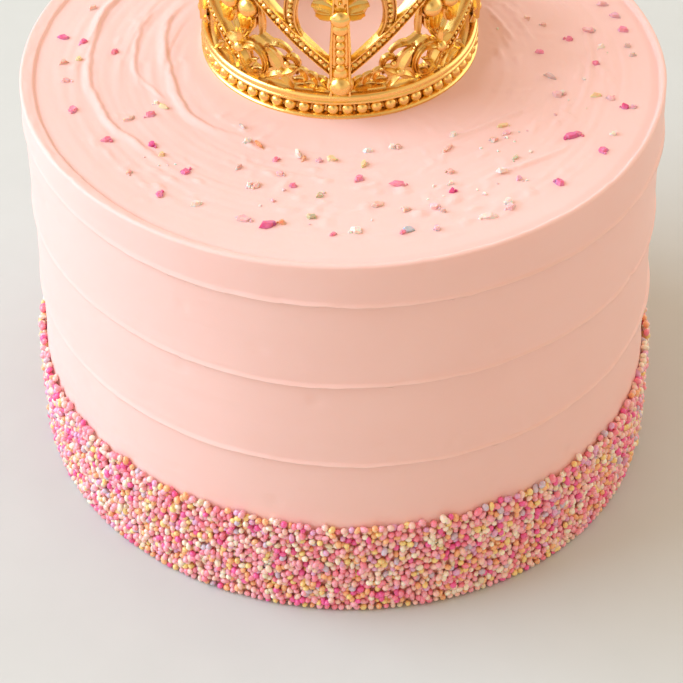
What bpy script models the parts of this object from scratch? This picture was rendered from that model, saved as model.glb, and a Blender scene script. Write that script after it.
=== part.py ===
"""Princess birthday cake: a tall round cake in pink buttercream, with a band of
sugar beads round its foot, sugar flakes on its top and a small gold crown on it.

Lengths are millimetres until the meshes are written, in metres. +Z is up, the
front of the cake faces -Y, and the origin is under the middle of its box.
"""
import math
import random

import bmesh
import bpy
from mathutils import Matrix, Vector, noise
from mathutils.geometry import interpolate_bezier

MM = 0.001

# The cake: a straight tall round, leaning a little, with a top not quite level
CAKE_RADIUS = 82.5
CAKE_HEIGHT = 115.0
LEAN = 0.0297
TOP_TILT = 0.0243
SEGMENTS = 50

# Spatula ridges round the side: their heights, and how far each one overhangs
RIDGE_HEIGHTS = (51.3, 77.5, 102.9)
RIDGE_LIP = 0.35
RIDGE_STEP = 0.85
RIDGE_UNDERCUT = 0.5
RIDGE_FLARE = 2.0
RIM_WIDTH = 3.6
RIM_DEPTH = 1.3
WAVINESS = 0.35

# Swirl left by the spatula on the top, outside the flat where the crown stands
SWIRL_PITCH = 10.0
SWIRL_DEPTH = 0.9
SWIRL_EDGE = 74.0
SWIRL_CLEAR = (45.0, 50.0)

# The band of sugar beads at the foot, and the flakes on the top
BAND_HEIGHT = 31.5
BAND_PROUD = 0.7
BAND_ROWS = 3
BAND_LUMPS = 0.5
BEAD_RADIUS = 1.2
BEAD_COUNT = 76
FLAKE_COUNT = 32
FLAKE_SIZE = 3.6

# The crown: one casting, round, its openwork a wall about 3 mm thick
CROWN_PLACE = (-1.2, 11.6)
CROWN_GAP = 0.3
RAIL_RADIUS = 35.6
RAIL_HEIGHT = 7.1
RAIL_INSIDE = 31.6
WALL = (32.0, 34.9)
THIN = (32.5, 34.3)
PROUD = (33.0, 35.5)
POST = (31.8, 35.9)
WALL_MIDDLE = 34.4
CROWN_FLARE = 0.02
RAIL_BEADS = 60
RAIL_BEAD_RADIUS = 1.6
RAIL_BEAD_HEIGHT = 2.7
POST_HEIGHT = 48.0
QUARTER = WALL_MIDDLE * math.pi / 4

random.seed(7)


def clear_scene():
    for thing in list(bpy.data.objects):
        bpy.data.objects.remove(thing, do_unlink=True)


def make_material(name, colour, roughness, metallic):
    material = bpy.data.materials.new(name)
    material.use_nodes = True
    shader = material.node_tree.nodes["Principled BSDF"]
    shader.inputs["Base Color"].default_value = (*colour, 1.0)
    shader.inputs["Roughness"].default_value = roughness
    shader.inputs["Metallic"].default_value = metallic
    return material


def add_object(name, bm, collection, material=None):
    """Turn a bmesh in millimetres into an object in metres, facing outwards."""
    bmesh.ops.recalc_face_normals(bm, faces=bm.faces[:])
    if bm.calc_volume(signed=True) < 0:
        bmesh.ops.reverse_faces(bm, faces=bm.faces[:])
    bmesh.ops.scale(bm, vec=(MM, MM, MM), verts=bm.verts[:])
    mesh = bpy.data.meshes.new(name)
    bm.to_mesh(mesh)
    bm.free()
    thing = bpy.data.objects.new(name, mesh)
    collection.objects.link(thing)
    if material:
        mesh.materials.append(material)
    return thing


def smoothstep(low, high, value):
    t = min(1.0, max(0.0, (value - low) / (high - low)))
    return t * t * (3 - 2 * t)


# Cake body

def settle(point):
    """Lean the straight cake to its left and tip its top, as it was left."""
    tip = smoothstep(RIDGE_HEIGHTS[-1], CAKE_HEIGHT, point.z) * TOP_TILT
    x = point.x - LEAN * point.z
    return Vector((x, point.y, point.z + tip * point.x))


def side_profile():
    """Radius and height up the side: each band draws in to the lip of the next ridge."""
    foot = CAKE_RADIUS + BAND_PROUD
    points = [(foot, 0.0)]
    points += [(foot + 0.3, BAND_HEIGHT * (row + 0.5) / BAND_ROWS) for row in range(BAND_ROWS)]
    points += [(foot, BAND_HEIGHT), (CAKE_RADIUS - 0.2, BAND_HEIGHT + 0.6)]
    for low, high in zip((BAND_HEIGHT,) + RIDGE_HEIGHTS[:-1], RIDGE_HEIGHTS):
        points.append((CAKE_RADIUS - RIDGE_STEP / 2, (low + high) / 2))
        points.append((CAKE_RADIUS - RIDGE_STEP, high - RIDGE_UNDERCUT))
        points.append((CAKE_RADIUS + RIDGE_LIP, high))
        points.append((CAKE_RADIUS, high + RIDGE_FLARE))
    points += [(CAKE_RADIUS, CAKE_HEIGHT - 1.4), (CAKE_RADIUS - 0.6, CAKE_HEIGHT - 0.3)]
    return points


def top_profile():
    """Radius and height across the top: the raised rim, then rings to the middle."""
    floor = CAKE_HEIGHT - RIM_DEPTH
    points = [(CAKE_RADIUS - 1.8, CAKE_HEIGHT), (CAKE_RADIUS - RIM_WIDTH, floor)]
    radius = SWIRL_EDGE
    while radius > SWIRL_PITCH:
        points.append((radius, floor))
        radius -= SWIRL_PITCH / 2 if radius > RAIL_RADIUS else SWIRL_PITCH
    return points


def swirl(x, y):
    """Depth of the spatula's spiral, deepest at the left and nil round the crown."""
    radius = math.hypot(x, y)
    angle = math.atan2(y, x)
    turn = (radius / SWIRL_PITCH - angle / math.tau) % 1.0
    left = 0.45 + 0.55 * max(0.0, -math.cos(angle + 0.25))
    crown = math.hypot(x - CROWN_PLACE[0], y - CROWN_PLACE[1])
    fade = smoothstep(*SWIRL_CLEAR, crown) * (1 - smoothstep(SWIRL_EDGE, CAKE_RADIUS - 5, radius))
    return SWIRL_DEPTH * left * fade * (turn - 1.0)


def make_body(collection, material):
    bm = bmesh.new()
    outline = [(0.0, 0.0)] + side_profile() + top_profile()
    outline.append((0.0, CAKE_HEIGHT - RIM_DEPTH))
    verts = [bm.verts.new((radius, 0.0, height)) for radius, height in outline]
    edges = [bm.edges.new(pair) for pair in zip(verts[:-1], verts[1:])]
    bmesh.ops.spin(bm, geom=verts + edges, axis=(0, 0, 1), cent=(0, 0, 0),
                   steps=SEGMENTS, angle=math.tau, use_merge=True)
    bmesh.ops.remove_doubles(bm, verts=bm.verts[:], dist=1e-4)
    bmesh.ops.triangulate(bm, faces=bm.faces[:])
    floor = CAKE_HEIGHT - RIM_DEPTH
    for vert in bm.verts:
        place = vert.co.copy()
        radius = math.hypot(place.x, place.y)
        if abs(place.z - floor) < 0.01 and radius < CAKE_RADIUS - RIM_WIDTH + 0.1:
            place.z += swirl(place.x, place.y)
        elif 0.1 < place.z < BAND_HEIGHT + 0.1:
            bump = noise.noise(place * 0.23) * BAND_LUMPS
            place.xy *= 1 + bump / radius
        elif radius > 1:
            wave = noise.noise(Vector((place.x, place.y, place.z * 3)) * 0.02) * WAVINESS
            place.xy *= 1 + wave / radius
        vert.co = settle(place)
    return add_object("cake", bm, collection, material)


# Small toppings, each an object of its own until they are fused

def make_bead(name, collection, angle, height, radius):
    bm = bmesh.new()
    bmesh.ops.create_icosphere(bm, subdivisions=1, radius=radius)
    reach = CAKE_RADIUS + BAND_PROUD + 0.35
    spin = Matrix.Rotation(random.random() * math.pi, 4, "Z")
    place = Vector((reach * math.cos(angle), reach * math.sin(angle), height))
    turn = Matrix.Rotation(angle, 4, "Z") @ Matrix.Rotation(math.pi / 2, 4, "Y") @ spin
    bmesh.ops.transform(bm, matrix=Matrix.Translation(settle(place)) @ turn, verts=bm.verts[:])
    add_object(name, bm, collection)


def make_beads(collection):
    """Beads spread evenly over the band by the golden angle, ragged at its top."""
    golden = math.pi * (3 - math.sqrt(5))
    for index in range(BEAD_COUNT):
        share = (index + 0.5) / BEAD_COUNT
        low, high = BEAD_RADIUS * 1.05, BAND_HEIGHT + 0.4
        height = low + (high - low) * share + random.uniform(-0.4, 0.4)
        radius = BEAD_RADIUS * random.uniform(0.95, 1.12)
        height = max(height, radius + 0.05)
        make_bead(f"bead_{index}", collection, index * golden, height, radius)


def make_flakes(collection):
    """Broken flakes strewn over the outer part of the top, clear of the crown."""
    floor = CAKE_HEIGHT - RIM_DEPTH
    golden = math.pi * (3 - math.sqrt(5))
    made = 0
    index = 0
    while made < FLAKE_COUNT:
        index += 1
        radius = random.uniform(38.0, SWIRL_EDGE)
        angle = index * golden
        x, y = radius * math.cos(angle), radius * math.sin(angle)
        if math.hypot(x - CROWN_PLACE[0], y - CROWN_PLACE[1]) < RAIL_RADIUS + 6:
            continue
        bm = bmesh.new()
        bmesh.ops.create_cone(bm, cap_ends=True, segments=5, radius1=0.5, radius2=0.34, depth=0.5)
        size = FLAKE_SIZE * random.uniform(0.7, 1.1)
        shape = Matrix.Diagonal((size, size * random.uniform(0.6, 0.9), size, 1))
        turn = Matrix.Rotation(random.random() * math.tau, 4, "Z")
        lift = Vector((x, y, floor + swirl(x, y) + 0.1))
        matrix = Matrix.Translation(settle(lift)) @ turn @ shape
        bmesh.ops.transform(bm, matrix=matrix, verts=bm.verts[:])
        add_object(f"flake_{made}", bm, collection)
        made += 1


def fuse(target, name):
    """Join a collection of overlapping pieces to the target with one union."""
    pieces = bpy.data.collections[name]
    union = target.modifiers.new("Fuse", "BOOLEAN")
    union.operation = "UNION"
    union.operand_type = "COLLECTION"
    union.collection = pieces
    depsgraph = bpy.context.evaluated_depsgraph_get()
    mesh = bpy.data.meshes.new_from_object(target.evaluated_get(depsgraph))
    target.modifiers.clear()
    target.data = mesh
    for piece in list(pieces.objects):
        bpy.data.objects.remove(piece, do_unlink=True)
    bpy.data.collections.remove(pieces)
    drop_scraps(target)


def drop_scraps(thing):
    """Keep the largest connected body of a mesh and delete any loose scrap."""
    bm = bmesh.new()
    bm.from_mesh(thing.data)
    left = set(bm.verts)
    bodies = []
    while left:
        body = [left.pop()]
        for vert in body:
            fresh = {edge.other_vert(vert) for edge in vert.link_edges} & left
            left -= fresh
            body.extend(fresh)
        bodies.append(body)
    bodies.sort(key=len)
    for body in bodies[:-1]:
        bmesh.ops.delete(bm, geom=body, context="VERTS")
    bm.to_mesh(thing.data)
    bm.free()


# Crown, drawn flat as (along the wall, height) and then bent round its axis

def bend(bm, middle):
    """Bend a flat piece, its depth held in z as a radius, round to one side."""
    for vert in bm.verts:
        along, height, radius = vert.co
        radius += CROWN_FLARE * height
        angle = middle + along / WALL_MIDDLE
        vert.co = (radius * math.sin(angle), -radius * math.cos(angle), height)


def curve(points, steps):
    """Points along a chain of Bezier arcs; each arc shares its end with the next."""
    path = []
    for start in range(0, len(points) - 1, 3):
        arc = [Vector((*point, 0.0)) for point in points[start:start + 4]]
        path += interpolate_bezier(*arc, steps)[(1 if path else 0):]
    return [(point.x, point.y) for point in path]


def mirror(points):
    return [(-x, y) for x, y in points]


def make_ribbon(name, collection, path, widths, middle, layer=WALL):
    """A flat bar of the wall along a path, its width going through the list given."""
    inside, outside = layer
    count = len(path) - 1
    bm = bmesh.new()
    grid = bmesh.ops.create_grid(bm, x_segments=count, y_segments=1, size=1.0)["verts"]
    for index, (x, y) in enumerate(path):
        before, after = path[max(index - 1, 0)], path[min(index + 1, count)]
        along = Vector((after[0] - before[0], after[1] - before[1])).normalized()
        spot = index / count * (len(widths) - 1)
        low = min(int(spot), len(widths) - 2)
        width = widths[low] + (widths[low + 1] - widths[low]) * (spot - low)
        side = Vector((-along.y, along.x)) * width / 2
        grid[index].co = (x + side.x, y + side.y, inside)
        grid[index + count + 1].co = (x - side.x, y - side.y, inside)
    raise_faces(bm, outside - inside)
    bend(bm, middle)
    add_object(name, bm, collection)


def raise_faces(bm, depth):
    """Turn a flat sheet into a closed plate of the given depth."""
    made = bmesh.ops.extrude_face_region(bm, geom=bm.faces[:])["geom"]
    raised = [item for item in made if isinstance(item, bmesh.types.BMVert)]
    bmesh.ops.translate(bm, vec=(0, 0, depth), verts=raised)


def make_ball(name, collection, along, height, radius, middle, reach):
    bm = bmesh.new()
    bmesh.ops.create_uvsphere(bm, u_segments=6, v_segments=4, radius=radius)
    angle = middle + along / WALL_MIDDLE
    reach += CROWN_FLARE * height
    spot = Vector((reach * math.sin(angle), -reach * math.cos(angle), height))
    turn = Matrix.Rotation(angle, 4, "Z") @ Matrix.Rotation(math.pi / 2, 4, "X")
    bmesh.ops.transform(bm, matrix=Matrix.Translation(spot) @ turn, verts=bm.verts[:])
    add_object(name, bm, collection)


def make_star(name, collection, height, radius, middle):
    """A five-pointed star standing proud of the wall."""
    bm = bmesh.new()
    ring = bmesh.ops.create_circle(bm, cap_ends=True, segments=10, radius=1.0)["verts"]
    for index, vert in enumerate(ring):
        size = radius if index % 2 == 0 else radius * 0.5
        angle = math.pi / 2 + index * math.pi / 5
        vert.co = (size * math.cos(angle), height + size * math.sin(angle), PROUD[0])
    bmesh.ops.triangulate(bm, faces=bm.faces[:])
    raise_faces(bm, PROUD[1] - PROUD[0])
    bend(bm, middle)
    add_object(name, bm, collection)


def make_rails(collection, material):
    """The closed base of the crown: a foot rail, a channel and an upper rail."""
    channel = RAIL_RADIUS - 1.5
    outline = ((RAIL_INSIDE, 0.0), (RAIL_RADIUS, 0.0), (RAIL_RADIUS, 1.1), (channel, 1.5),
               (channel, 3.9), (RAIL_RADIUS, 4.3), (RAIL_RADIUS - 0.2, RAIL_HEIGHT),
               (RAIL_INSIDE, RAIL_HEIGHT))
    bm = bmesh.new()
    verts = [bm.verts.new((radius, 0.0, height)) for radius, height in outline]
    edges = [bm.edges.new(pair) for pair in zip(verts, verts[1:] + verts[:1])]
    bmesh.ops.spin(bm, geom=verts + edges, axis=(0, 0, 1), cent=(0, 0, 0),
                   steps=36, angle=math.tau, use_merge=True)
    bmesh.ops.remove_doubles(bm, verts=bm.verts[:], dist=1e-4)
    return add_object("crown", bm, collection, material)


def make_rail_beads(collection):
    """A row of round studs filling the channel of the base."""
    outwards = Matrix.Rotation(math.pi / 2, 4, "Y")
    spot = Matrix.Translation((RAIL_RADIUS - 0.7, 0, RAIL_BEAD_HEIGHT))
    for index in range(RAIL_BEADS):
        bm = bmesh.new()
        bmesh.ops.create_cone(bm, cap_ends=True, segments=6, radius1=RAIL_BEAD_RADIUS,
                              radius2=RAIL_BEAD_RADIUS * 0.6, depth=2.0)
        turn = Matrix.Rotation(math.tau * index / RAIL_BEADS, 4, "Z")
        bmesh.ops.transform(bm, matrix=turn @ spot @ outwards, verts=bm.verts[:])
        add_object(f"rail_bead_{index}", bm, collection)


def make_heart_side(collection, middle, tag):
    """Front and back of the crown: a heart in a wide V, round a jewelled post."""
    arm = curve(((0, 12.4), (9, 20.9), (18, 29.4), (QUARTER, 37.4)), 6)
    heart = curve(((10.4, 22.6), (12.9, 26.0), (12.6, 30.0), (11.8, 33.5),
                   (11.1, 37.5), (9.6, 40.3), (6.6, 40.3), (3.6, 40.3), (1.4, 38.2), (0.0, 35.6)), 4)
    scroll = curve(((13.6, 6.6), (16, 13.8), (19, 17.8), (QUARTER, 15.6)), 5)
    wing = curve(((0, 27.8), (2.5, 28.6), (5.2, 30.6), (7.4, 33.0)), 3)
    petal = curve(((0, 40.8), (2, 41), (4.2, 42.6), (4.6, 45.6)), 3)
    for side, flip in (("right", list), ("left", mirror)):
        tail = f"{tag}_{side}"
        make_ribbon(f"arm_{tail}", collection, flip(arm), (2.8, 2.6), middle)
        make_ribbon(f"heart_{tail}", collection, flip(heart), (2.8, 3.4, 2.6, 2.0), middle, THIN)
        make_ribbon(f"scroll_{tail}", collection, flip(scroll), (2.6, 3.4, 1.8, 2.4), middle, THIN)
        make_ribbon(f"wing_{tail}", collection, flip(wing), (3.4, 2.8, 1.0), middle, PROUD)
        make_ribbon(f"petal_{tail}", collection, flip(petal), (2.6, 2.4, 1.0), middle, THIN)
    post = ((0, 7.0), (0, 22.0), (0, 36.0), (0, POST_HEIGHT))
    make_ribbon(f"post_{tag}", collection, post, (5.3, 5.1, 3.8, 2.6), middle, POST)
    make_ball(f"knob_{tag}", collection, 0, 25.7, 2.9, middle, 34.9)
    make_ball(f"foot_bead_{tag}", collection, 0, 10.0, 2.9, middle, 35.2)
    make_ball(f"finial_{tag}", collection, 0, POST_HEIGHT, 2.5, middle, 34.0)


def make_arch_side(collection, middle, tag):
    """The two sides of the crown: a round arch with a lily standing on it."""
    arch = curve(((-QUARTER, 10.5), (-18, 17.5), (-9, 22.2), (0, 22.2),
                  (9, 22.2), (18, 17.5), (QUARTER, 10.5)), 5)
    make_ribbon(f"arch_{tag}", collection, arch, (2.8, 2.6, 2.8), middle)
    swag = curve(((0, 27.5), (8, 27.0), (17, 31.5), (QUARTER, 37.0)), 4)
    petal = curve(((0, 30), (3.5, 30.5), (6.4, 33.5), (5.6, 38.0)), 3)
    bar = curve(((14.6, 7.2), (11.6, 10), (11.8, 14.5), (15.2, 19.0)), 3)
    for side, flip in (("right", list), ("left", mirror)):
        tail = f"{tag}_{side}"
        make_ribbon(f"swag_{tail}", collection, flip(swag), (2.2, 2.0, 2.4), middle, THIN)
        make_ribbon(f"lily_{tail}", collection, flip(petal), (2.8, 2.6, 1.0), middle, THIN)
        make_ribbon(f"bar_{tail}", collection, flip(bar), (1.6, 2.0, 1.6), middle, THIN)
    post = ((0, 7.0), (0, 22.0), (0, 36.0), (0, 42.0))
    make_ribbon(f"post_{tag}", collection, post, (3.2, 3.0, 3.6, 2.0), middle, POST)
    make_ball(f"foot_bead_{tag}", collection, 0, 10.0, 1.8, middle, 34.7)
    make_ball(f"finial_{tag}", collection, 0, 42.4, 2.3, middle, 34.0)


def make_corner(collection, middle, tag):
    """Between the sides: a star on the wall, two buds over it and a ball on top."""
    make_star(f"star_{tag}", collection, 14.8, 4.9, middle)
    for side in (-1, 1):
        cup = curve(((0, 17), (side * 1.5, 20), (side * 3, 22), (side * 3.0, 26.5)), 3)
        make_ribbon(f"cup_{tag}_{side + 1}", collection, cup, (1.6, 2.6, 4.2), middle, THIN)
        make_ball(f"bud_{tag}_{side + 1}", collection, side * 3.1, 27.4, 2.9, middle, 33.7)
        shoot = curve(((side * 3.0, 29), (side * 2.6, 32), (side * 1.4, 35), (0, 38)), 3)
        make_ribbon(f"shoot_{tag}_{side + 1}", collection, shoot, (2.0, 1.6, 2.2), middle, THIN)
    make_ball(f"finial_{tag}", collection, 0, 40.0, 2.5, middle, 33.8)


def make_crown(collection, material):
    pieces = bpy.data.collections.new("crown pieces")
    bpy.context.scene.collection.children.link(pieces)
    rails = make_rails(collection, material)
    make_rail_beads(pieces)
    for tag, middle in (("front", 0.0), ("back", math.pi)):
        make_heart_side(pieces, middle, tag)
    for tag, middle in (("right", math.pi / 2), ("left", -math.pi / 2)):
        make_arch_side(pieces, middle, tag)
    for corner in range(4):
        make_corner(pieces, math.pi / 4 + corner * math.pi / 2, f"corner_{corner}")
    fuse(rails, pieces.name)
    floor = CAKE_HEIGHT - RIM_DEPTH + CROWN_GAP
    x, y = CROWN_PLACE
    place = Vector((x - LEAN * floor, y, floor + TOP_TILT * x)) * MM
    tip = Matrix.Rotation(-math.atan(TOP_TILT), 4, "Y")
    rails.data.transform(Matrix.Translation(place) @ tip)
    return rails


def stand_on_middle(things):
    """Slide everything so that the whole box is centred over the origin."""
    low = [min(vert.co[axis] for thing in things for vert in thing.data.vertices) for axis in (0, 1)]
    high = [max(vert.co[axis] for thing in things for vert in thing.data.vertices) for axis in (0, 1)]
    shift = [-(a + b) / 2 for a, b in zip(low, high)]
    for thing in things:
        thing.data.transform(Matrix.Translation((*shift, 0.0)))


clear_scene()
model = bpy.data.collections.new("princess_cake")
bpy.context.scene.collection.children.link(model)
toppings = bpy.data.collections.new("toppings")
bpy.context.scene.collection.children.link(toppings)
buttercream = make_material("buttercream", (0.90, 0.62, 0.55), 0.55, 0.0)
gold = make_material("gold", (0.90, 0.58, 0.20), 0.28, 1.0)
cake = make_body(model, buttercream)
make_beads(toppings)
make_flakes(toppings)
fuse(cake, toppings.name)
crown = make_crown(model, gold)
stand_on_middle((cake, crown))
for thing in (cake, crown):
    thing.data.shade_smooth()
    thing.data.set_sharp_from_angle(angle=math.radians(30))
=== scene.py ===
"""Princess birthday cake: a tall round cake in pink buttercream, sugar beads packed
round its foot, broken sugar flakes strewn on its top, and an openwork gold crown.

The pieces are modelled in millimetres and written in metres, in the cake's own frame.
"""
import math
import random

import bmesh
import bpy
from mathutils import Matrix, Vector, kdtree, noise
from mathutils.geometry import interpolate_bezier


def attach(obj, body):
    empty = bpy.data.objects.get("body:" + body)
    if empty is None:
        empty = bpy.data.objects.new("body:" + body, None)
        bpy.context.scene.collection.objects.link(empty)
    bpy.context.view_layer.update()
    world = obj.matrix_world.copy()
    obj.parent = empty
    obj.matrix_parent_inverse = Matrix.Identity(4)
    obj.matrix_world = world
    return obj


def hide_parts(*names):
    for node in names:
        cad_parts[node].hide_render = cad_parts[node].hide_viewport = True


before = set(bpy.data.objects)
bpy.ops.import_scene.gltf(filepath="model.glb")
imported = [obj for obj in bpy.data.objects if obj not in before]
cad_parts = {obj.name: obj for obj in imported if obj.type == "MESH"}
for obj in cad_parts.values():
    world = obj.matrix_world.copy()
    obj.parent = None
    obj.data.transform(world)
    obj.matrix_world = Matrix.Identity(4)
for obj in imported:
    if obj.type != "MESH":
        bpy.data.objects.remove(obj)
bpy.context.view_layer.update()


# Buttercream: sponge under a coat of pink icing, turned against a blade to smooth it.
# The side keeps three laps where the blade was lifted, the top the blade's loose
# spiral, and round its edge stands the low lip that was never smoothed down.
MM = 0.001
CAKE_RADIUS = 82.5
CAKE_HEIGHT = 115.0
FOOT_RADIUS = 83.1
AXIS_AT_FOOT = (0.52, 0.08)
LEAN = 0.0297
TOP_TILT = 0.0243
BEAD_BAND_TOP = 31.5
LAP_HEIGHTS = (51.3, 77.5, 102.9)
LAP_STEP = 0.75
LAP_LIP = 0.8
LAP_FLARE = 1.0
LAP_GROOVE = 0.45
RIM_ROUND = 0.8
LIP_WIDTH = 3.6
LIP_DEPTH = 0.9
LIP_FULLEST_AT = 2.6
GUTTER_WIDTH = 2.6
GUTTER_DEPTH = 0.17
SWIRL_PITCH = 10.2
SWIRL_DEPTH = 0.75
CROWN_SPOT = (-1.2, 11.6)
CROWN_RING = 33.5
CALM_REACH = 37.0
SWIRL_REACH = 43.0
SPIN_STEPS = 360
# Marks where the blade dragged: height, outer and inner width, and the way it went.
BLADE_MARKS = (
    (0.64, 2.4, 0.85, ((-52, 41), (-59.9, 28.9), (-63.1, 23.2), (-64.7, 10.1), (-64.9, -0.7),
                       (-63.7, -10.8), (-61.2, -17.6), (-56.8, -27.6), (-50.6, -33.7),
                       (-42.0, -43.2), (-33, -50))),
    (0.52, 2.8, 0.95, ((-40, 31), (-45.7, 19.7), (-46.4, 8.7), (-44.6, -1.6), (-42.5, -9.9),
                       (-39.2, -20.2), (-34.9, -25.9), (-28.4, -30.0), (-19, -34))),
    (0.4, 1.6, 0.7, ((-50, 24), (-53.3, 13.6), (-53.5, 0.4), (-52.1, -7.5), (-49.5, -13))),
    (0.35, 0.9, 0.7, ((-53, -6), (-49, -11), (-43.9, -17.3))),
    (0.3, 0.8, 0.8, ((-57, -25), (-53, -22.5), (-47, -22.0))),
    (0.62, 0.8, 1.5, ((24.0, -33.7), (33.8, -27.5), (42, -22), (50.5, -15.5))),
    (0.6, 0.8, 1.5, ((33.8, -48.0), (43.6, -42.6), (53.0, -36.6), (57.5, -32))),
    (0.5, 1.2, 1.2, ((36.5, 27.5), (40.5, 20), (44.8, 9.5))),
    (0.5, 1.0, 1.4, ((41, 30), (45.5, 21), (49.3, 10))),
    (0.4, 0.8, 0.8, ((56.5, 31), (59.8, 25))),
    (0.35, 1.6, 1.0, ((62, 22), (63.3, 6), (61.5, -9), (57, -22))),
)


def ease(low, high, value):
    """From 0 to 1, with soft ends, as a value goes from low to high."""
    t = min(1.0, max(0.0, (value - low) / (high - low)))
    return t * t * (3 - 2 * t)


def settle(x, y, z):
    """Carry a point of the straight cake to where it stands: leaning, its top tipped."""
    tip = ease(LAP_HEIGHTS[-1], CAKE_HEIGHT, z) * TOP_TILT
    return Vector((x - LEAN * z + AXIS_AT_FOOT[0], y + AXIS_AT_FOOT[1], z + tip * x))


def lap_height(height, angle):
    """A lap is not quite level: it wanders up and down as it goes round."""
    heading = Vector((math.cos(angle), math.sin(angle), height * 0.13))
    slow = 0.9 * noise.noise(heading * 1.1) + 0.35 * noise.noise(heading * 6.0)
    return height + slow + 0.16 * noise.noise(heading * 22.0) + 0.1 * noise.noise(heading * 55.0)


def side_inset(angle, height):
    """How far the side lies inside the cake's radius, at an angle and a height."""
    heading = Vector((math.cos(angle), math.sin(angle), 0.0))
    past_the_top = CAKE_HEIGHT + 9.0
    low = BEAD_BAND_TOP
    for nominal in LAP_HEIGHTS + (past_the_top,):
        high = lap_height(nominal, angle)
        if height < high:
            break
        low = high
    share = min(1.0, max(0.0, (height - low) / (high - low)))
    smoothed = ease(-0.35, 1.0, -heading.x)
    strength = 0.85 + 0.5 * noise.noise(heading * 2.3 + Vector((0, 0, low)))
    strength *= 1.0 - 0.55 * smoothed
    inset = LAP_STEP * share * strength
    if low > BEAD_BAND_TOP:
        flare = LAP_FLARE * (1 + 1.2 * smoothed)
        inset -= LAP_LIP * strength * (1 - ease(0.0, flare, height - low))
    under = high - height
    if nominal < CAKE_HEIGHT and under < LAP_GROOVE:
        inset += LAP_STEP * 0.25 * (1 - under / LAP_GROOVE) * (1 - smoothed)
    streak = noise.noise(Vector((heading.x * 1.4, heading.y * 1.4, height * 0.42)))
    wave = noise.noise(Vector((heading.x * 2, heading.y * 2, height * 0.03)))
    pits = max(0.0, noise.noise(Vector((heading.x * 22, heading.y * 22, height * 0.2))) - 0.52)
    return inset + 0.07 * streak + 0.3 * wave + 1.2 * pits


def smooth_path(points, step):
    """Points about a step apart along a smooth curve through the given ones."""
    knots = [Vector((*point, 0.0)) for point in points]
    path = []
    for index in range(len(knots) - 1):
        start, end = knots[index], knots[index + 1]
        before, after = knots[max(index - 1, 0)], knots[min(index + 2, len(knots) - 1)]
        leaving, arriving = start + (end - before) / 6, end - (after - start) / 6
        count = max(2, round((end - start).length / step))
        path += interpolate_bezier(start, leaving, arriving, end, count + 1)[(1 if path else 0):]
    return path


mark_samples = []
for height, outer, inner, points in BLADE_MARKS:
    path = smooth_path(points, 0.6)
    for index, point in enumerate(path):
        ahead = (path[min(index + 1, len(path) - 1)] - path[max(index - 1, 0)]).normalized()
        outwards = Vector((ahead.y, -ahead.x, 0.0))
        if outwards.dot(point) < 0:
            outwards = -outwards
        share = index / (len(path) - 1)
        taper = ease(0.0, 0.2, share) * (1 - ease(0.7, 1.0, share))
        wander = outwards * 0.5 * noise.noise(point * 0.3)
        mark_samples.append((point + wander, outwards, height * taper, outer, inner))
marks = kdtree.KDTree(len(mark_samples))
for index, sample in enumerate(mark_samples):
    marks.insert(sample[0], index)
marks.balance()


def mark_relief(x, y):
    """Height of the nearest blade mark: a steep face inwards, a slower one outwards."""
    here = Vector((x, y, 0.0))
    spot, index, distance = marks.find(here)
    point, outwards, height, outer, inner = mark_samples[index]
    across = (here - point).dot(outwards)
    width = outer if across > 0 else inner
    edge = 1 + 0.35 * noise.noise(here * 0.9)
    return height * edge * (1 - ease(0.0, width, distance))


def swirl_relief(x, y):
    """Height of the blade's work on the top: a loose spiral, its marks and fine drags.

    Round the crown the icing is calm, and under the crown's foot it is squeezed up.
    """
    radius = math.hypot(x, y)
    angle = math.atan2(y, x)
    warp = 0.22 * noise.noise(Vector((x, y, 3.0)) * 0.035)
    turn = (radius / SWIRL_PITCH - angle / math.tau + warp) % 1.0
    falling = 0.75 * ease(0.09, 0.32, turn)
    crest = ease(0.0, 0.08, turn) * (1 - falling - 0.25 * ease(0.3, 0.95, turn))
    strength = 0.10 + 0.9 * max(0.0, math.sin(angle - 0.35)) ** 1.5
    patchy = 0.7 + 0.9 * noise.noise(Vector((x, y, 9.0)) * 0.045)
    spiral = SWIRL_DEPTH * crest * strength * max(0.15, patchy)

    side = abs(math.cos(angle))
    drag = 0.16 * noise.noise(Vector((radius * 0.5, angle * 2.5, 1.0))) * (0.35 + 0.65 * side)
    lumps = 0.10 * noise.noise(Vector((x, y, 2.0)) * 0.16)
    rough = ease(-0.3, 0.5, noise.noise(Vector((x, y, 6.0)) * 0.05) + 0.4 * math.cos(angle + 0.9))
    bits = 1.3 * rough * max(0.0, noise.noise(Vector((x, y, 4.0)) * 0.34) - 0.25)

    from_crown = math.hypot(x - CROWN_SPOT[0], y - CROWN_SPOT[1])
    clear = ease(CALM_REACH, SWIRL_REACH, from_crown)
    squeezed = 0.2 * (1 - ease(1.9, 3.4, abs(from_crown - CROWN_RING)))
    fade = clear * (1 - ease(70.0, 77.0, radius))
    return (spiral + drag + lumps + bits) * fade + mark_relief(x, y) * clear + squeezed


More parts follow.
